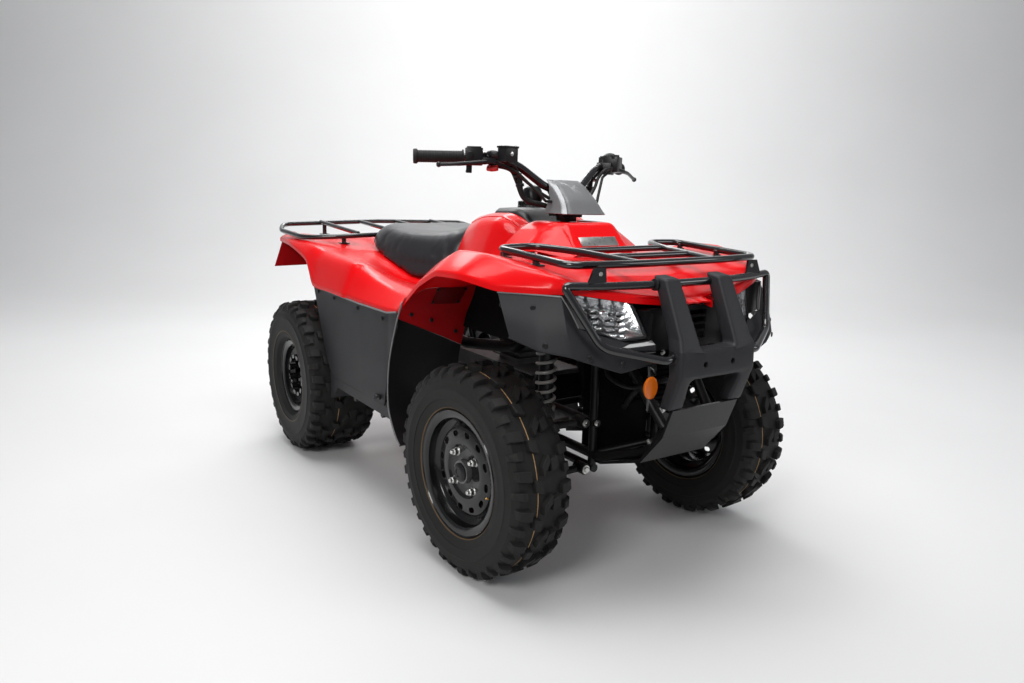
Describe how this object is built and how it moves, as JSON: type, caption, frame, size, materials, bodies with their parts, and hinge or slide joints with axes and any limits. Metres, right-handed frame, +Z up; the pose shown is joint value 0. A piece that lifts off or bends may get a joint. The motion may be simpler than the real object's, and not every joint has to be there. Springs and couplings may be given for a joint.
{
  "type": "quad bike",
  "caption": "Utility quad bike: red mouldings over dark lower covers, knobbly tyres on steel rims, tube racks front and rear, tube guard, steered front wheels and a turning rear axle.",
  "frame": {"origin": "on the floor under the middle of the bounding box", "axes": "+X is the rider's left, the front faces -Y, +Z is up"},
  "size_m": [1.03, 1.9, 1.0797],
  "materials": {
    "tyre_rubber": "moulded tread",
    "rim_paint": "semi-gloss black",
    "cast_grey": "as cast",
    "zinc_steel": "zinc plated",
    "frame_paint": "satin black",
    "tube_paint": "gloss black powder coat",
    "grip_rubber": "matte",
    "dark_plastic": "fine grain",
    "black_plastic": "semi-gloss",
    "silver_plastic": "satin silver",
    "red_plastic": "gloss moulded",
    "seat_vinyl": "grained vinyl",
    "lamp_glass": "clear",
    "amber_lens": "translucent amber",
    "red_lens": "translucent red",
    "engine_cast": "sand cast"
  },
  "bodies": {
    "chassis": {"engine": "engine_cast", "exhaust": "frame_paint", "footboards": "dark_plastic", "frame": "frame_paint", "front_arms": "frame_paint", "front_fender": "red_plastic", "front_grille": "black_plastic", "front_rack": "tube_paint", "front_reflectors": "amber_lens", "front_shocks": "zinc_steel", "front_side_covers": "dark_plastic", "guard_bar": "tube_paint", "guard_cover": "dark_plastic", "headlamps": "lamp_glass", "mudguards": "dark_plastic", "nose_cowl": "red_plastic", "rear_fender": "red_plastic", "rear_rack": "tube_paint", "rear_shock": "zinc_steel", "rear_side_panels": "dark_plastic", "seat": "seat_vinyl", "skid_plate": "dark_plastic", "swingarm": "frame_paint", "tail_lamps": "red_lens", "tank_cover": "red_plastic", "tank_top_cover": "black_plastic", "tow_hitch": "frame_paint"},
    "steering": {"steering_column": "frame_paint", "handlebar": "tube_paint", "grips": "grip_rubber", "left_control": "dark_plastic", "right_control": "dark_plastic", "control_cables": "grip_rubber", "handlebar_pod": "silver_plastic"},
    "knuckle_right": {"knuckle_right": "cast_grey"},
    "knuckle_left": {"knuckle_left": "cast_grey"},
    "tie_rod_right": {"tie_rod_right": "zinc_steel"},
    "tie_rod_left": {"tie_rod_left": "zinc_steel"},
    "front_wheel_right": {"front_tyre_right": "tyre_rubber", "front_rim_right": "rim_paint"},
    "front_wheel_left": {"front_tyre_left": "tyre_rubber", "front_rim_left": "rim_paint"},
    "rear_axle": {"rear_axle": "cast_grey", "rear_rims": "rim_paint", "rear_tyres": "tyre_rubber"}
  },
  "joints": [
    {"name": "steering", "type": "hinge", "parent": "chassis", "child": "steering", "pos_m": [0, -0.491, 0.33], "axis": [0, 0.2577, 0.9662], "range_deg": [-42, 34]},
    {"name": "kingpin_right", "type": "hinge", "parent": "chassis", "child": "knuckle_right", "pos_m": [-0.3, -0.537, 0.27], "axis": [0, 0, 1], "range_deg": [-42, 34]},
    {"name": "kingpin_left", "type": "hinge", "parent": "chassis", "child": "knuckle_left", "pos_m": [0.3, -0.537, 0.27], "axis": [0, 0, 1], "range_deg": [-42, 34]},
    {"name": "tie_rod_eye_right", "type": "hinge", "parent": "steering", "child": "tie_rod_right", "pos_m": [-0.02878, -0.43967, 0.31631], "axis": [0, 0.2577, 0.9662], "range_deg": [-38, 46.5]},
    {"name": "tie_rod_eye_left", "type": "hinge", "parent": "steering", "child": "tie_rod_left", "pos_m": [0.0211, -0.4363, 0.31541], "axis": [0, 0.2577, 0.9662], "range_deg": [-38, 46.5]},
    {"name": "front_wheel_right", "type": "hinge", "parent": "knuckle_right", "child": "front_wheel_right", "pos_m": [-0.38978, -0.54328, 0.27], "axis": [0.9976, 0.0698, 0], "continuous": true},
    {"name": "front_wheel_left", "type": "hinge", "parent": "knuckle_left", "child": "front_wheel_left", "pos_m": [0.38978, -0.53072, 0.27], "axis": [0.9976, 0.0698, 0], "continuous": true},
    {"name": "rear_axle", "type": "hinge", "parent": "chassis", "child": "rear_axle", "pos_m": [0, 0.595, 0.27], "axis": [1, 0, 0], "continuous": true}
  ],
  "couplings": [
    {"joint": "kingpin_right", "follows": "steering", "ratio": 1},
    {"joint": "kingpin_left", "follows": "steering", "ratio": 1},
    {"joint": "tie_rod_eye_right", "follows": "steering", "ratio": -1.0909},
    {"joint": "tie_rod_eye_left", "follows": "steering", "ratio": -1.0909}
  ]
}
